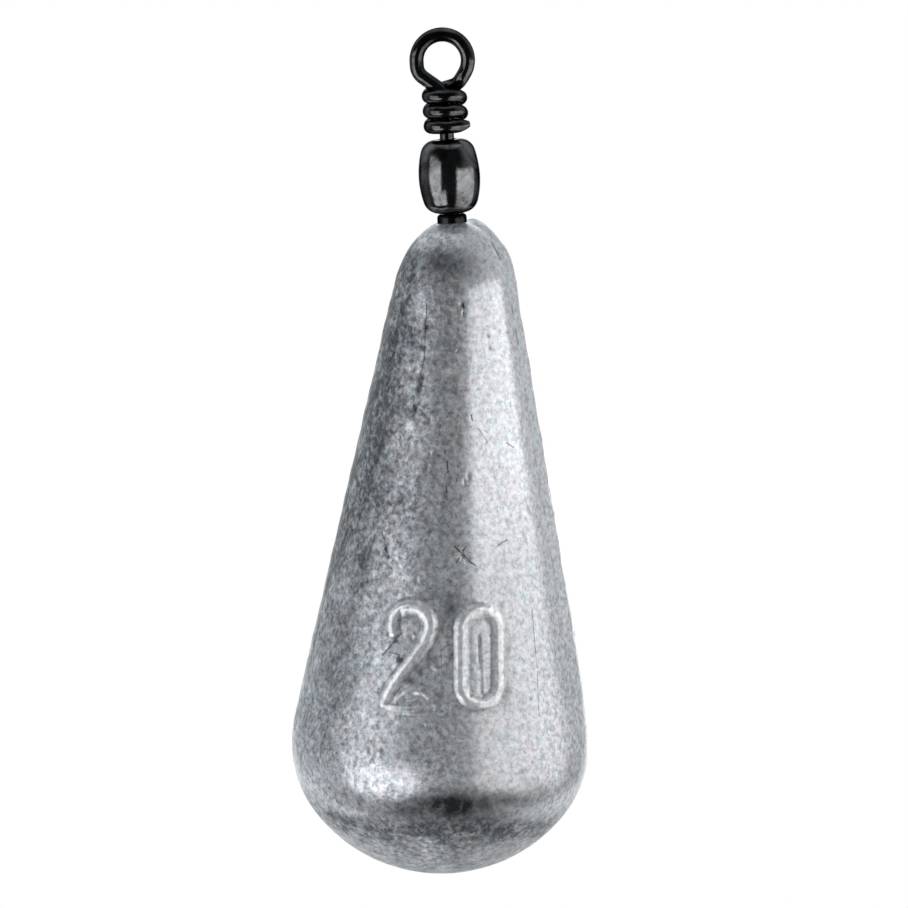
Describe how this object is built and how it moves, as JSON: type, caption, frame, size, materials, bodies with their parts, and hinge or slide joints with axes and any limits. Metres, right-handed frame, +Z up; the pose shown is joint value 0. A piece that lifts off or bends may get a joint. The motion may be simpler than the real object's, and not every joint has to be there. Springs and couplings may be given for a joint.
{
  "type": "fishing sinker",
  "caption": "Pear-shaped cast lead fishing sinker with a raised size number and a black barrel swivel cast into its nose, hung by a wire ring.",
  "frame": {"origin": "centre of the line eye's ring", "axes": "+Z up along the sinker's own axis, the front with the size number faces -Y, and the swivel leans towards -X at its top"},
  "size_m": [0.0196, 0.0196, 0.0557],
  "materials": {
    "lead": "bare lead as cast, dull to softly shining, oxide mottled",
    "plated_pin": "gloss black plating",
    "plated_barrel": "gloss black plating",
    "plated_wire": "gloss black plating"
  },
  "bodies": {
    "line_eye": {"line_eye": "plated_wire"},
    "barrel": {"swivel_barrel": "plated_barrel"},
    "sinker": {"sinker_body": "lead", "cast_in_eye": "plated_pin"}
  },
  "joints": [
    {"name": "barrel_spin", "type": "hinge", "parent": "line_eye", "child": "barrel", "pos_m": [0.0005, 0, -0.00549], "axis": [-0.0906, 0, 0.9959], "continuous": true},
    {"name": "sinker_spin", "type": "hinge", "parent": "barrel", "child": "sinker", "pos_m": [0.00089, 0, -0.00977], "axis": [-0.0906, 0, 0.9959], "continuous": true}
  ]
}
